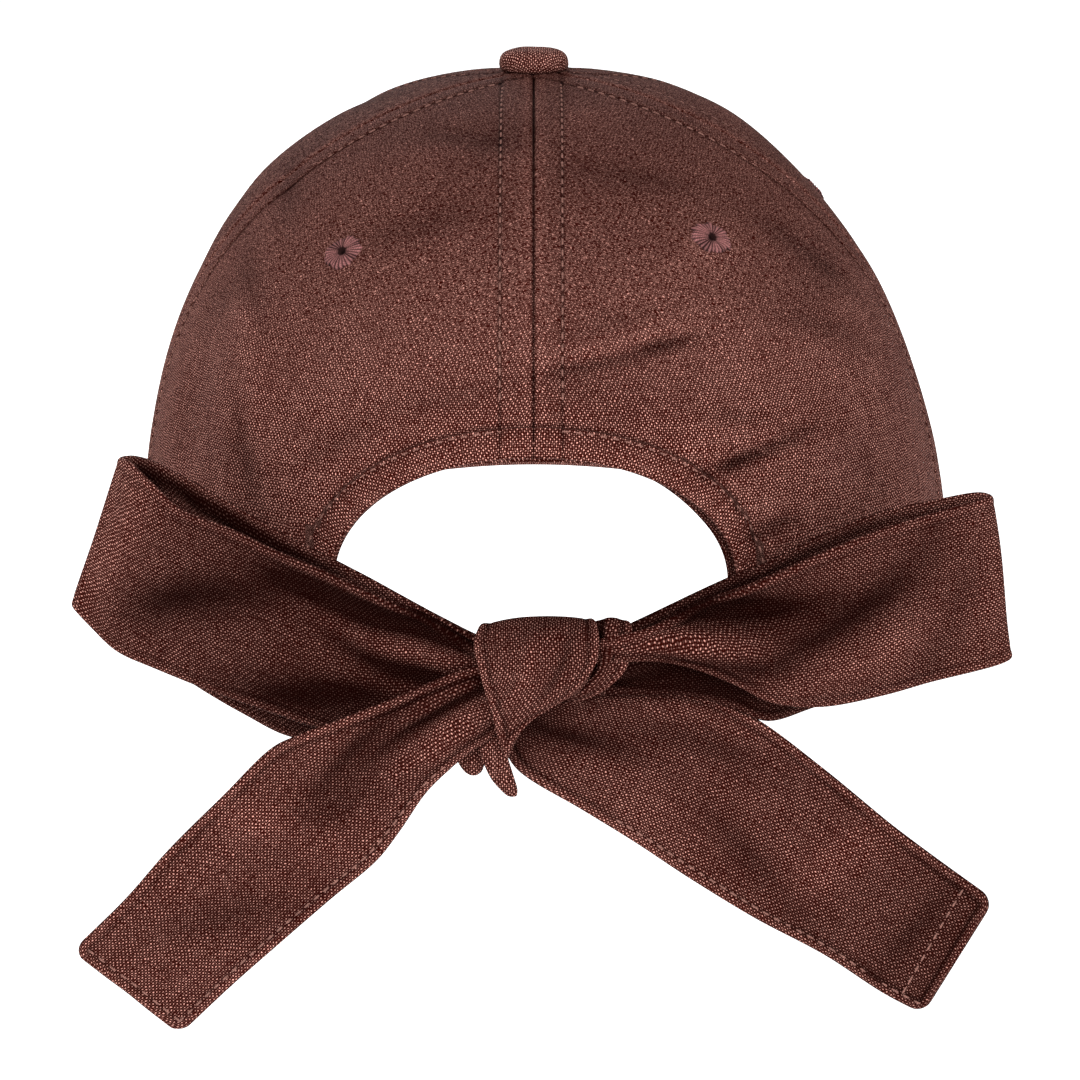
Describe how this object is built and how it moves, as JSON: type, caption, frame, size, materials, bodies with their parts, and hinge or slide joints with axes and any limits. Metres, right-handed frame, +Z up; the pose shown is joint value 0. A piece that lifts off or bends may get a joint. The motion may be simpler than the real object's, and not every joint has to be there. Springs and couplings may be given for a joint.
{
  "type": "peaked cap with a tied bow",
  "caption": "Soft peaked cap of woven cloth panels with a covered button, stitched eyelets and an arched back opening closed by two wide ties in a bow.",
  "frame": {"origin": "the middle of the plane of the crown's rim, where the head goes in", "axes": "+Z up through the button, -Y forwards along the peak, +Y back to the bow, +X to the wearer's left"},
  "size_m": [0.1989, 0.2808, 0.1937],
  "materials": {
    "cloth": "dark red-brown plain-woven linen, slubbed, dull with a faint sheen",
    "eyelet_thread": "mauve-brown stitched thread with a soft sheen"
  },
  "bodies": {
    "root": {"panel_back_left": "cloth", "panel_back_right": "cloth", "panel_side_left": "cloth", "panel_side_right": "cloth", "panel_front_left": "cloth", "panel_front_right": "cloth", "button": "cloth", "arch_facing": "cloth", "peak": "cloth", "tie_strap_left": "cloth", "tie_strap_right": "cloth", "bow_loop_left": "cloth", "bow_loop_right": "cloth", "bow_tail_left": "cloth", "bow_tail_right": "cloth", "bow_knot": "cloth", "bow_knot_curl": "cloth", "eyelet_back_left": "eyelet_thread", "eyelet_back_right": "eyelet_thread", "eyelet_side_left": "eyelet_thread", "eyelet_side_right": "eyelet_thread", "eyelet_front_left": "eyelet_thread", "eyelet_front_right": "eyelet_thread"}
  },
  "joints": []
}
